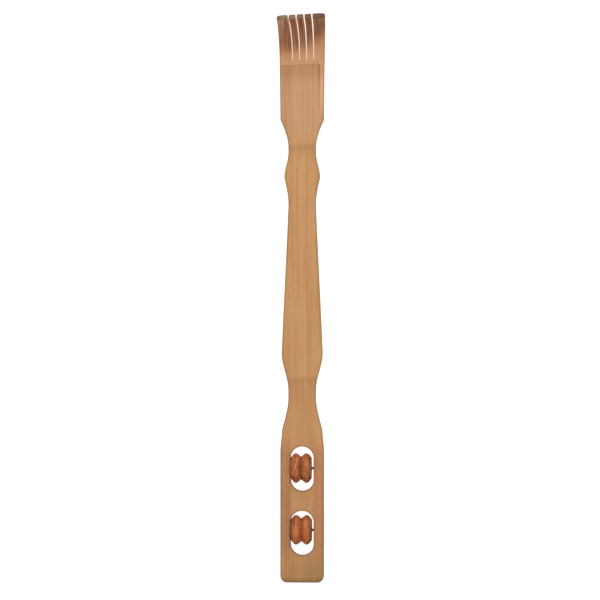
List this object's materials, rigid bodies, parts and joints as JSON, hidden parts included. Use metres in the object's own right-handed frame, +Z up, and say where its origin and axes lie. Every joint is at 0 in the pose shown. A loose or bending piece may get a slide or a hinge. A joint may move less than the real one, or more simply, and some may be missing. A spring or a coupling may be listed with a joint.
{
  "type": "back scratcher",
  "caption": "Flat waisted bamboo back scratcher with a bent, slit claw for scratching and handle windows holding free-turning wooden massage beads on cross pins.",
  "frame": {"origin": "on the ground below the middle of the strip, which lies on its back on the upper beads and the back of the claw's bend", "axes": "+X across the strip, +Y from the butt to the claw, +Z up out of the face that the claw curls towards"},
  "size_m": [0.0424, 0.4983, 0.0288],
  "materials": {
    "bamboo": "sanded, bare, scorched inside the bend",
    "red_wood": "satin lacquer",
    "dark_steel": "darkened drawn wire"
  },
  "bodies": {
    "stick": {"bamboo_stick": "bamboo", "upper_axle_pin": "dark_steel", "lower_axle_pin": "dark_steel"},
    "upper_left_bead": {"upper_left_bead": "red_wood"},
    "upper_right_bead": {"upper_right_bead": "red_wood"},
    "lower_left_bead": {"lower_left_bead": "red_wood"},
    "lower_right_bead": {"lower_right_bead": "red_wood"}
  },
  "joints": [
    {"name": "upper_left_bead_spin", "type": "hinge", "parent": "stick", "child": "upper_left_bead", "pos_m": [0, -0.14814, 0.013], "axis": [1, 0, 0], "continuous": true},
    {"name": "upper_right_bead_spin", "type": "hinge", "parent": "stick", "child": "upper_right_bead", "pos_m": [0, -0.14814, 0.013], "axis": [1, 0, 0], "continuous": true},
    {"name": "lower_left_bead_spin", "type": "hinge", "parent": "stick", "child": "lower_left_bead", "pos_m": [0, -0.20242, 0.01453], "axis": [1, 0, 0], "continuous": true},
    {"name": "lower_right_bead_spin", "type": "hinge", "parent": "stick", "child": "lower_right_bead", "pos_m": [0, -0.20242, 0.01453], "axis": [1, 0, 0], "continuous": true}
  ]
}
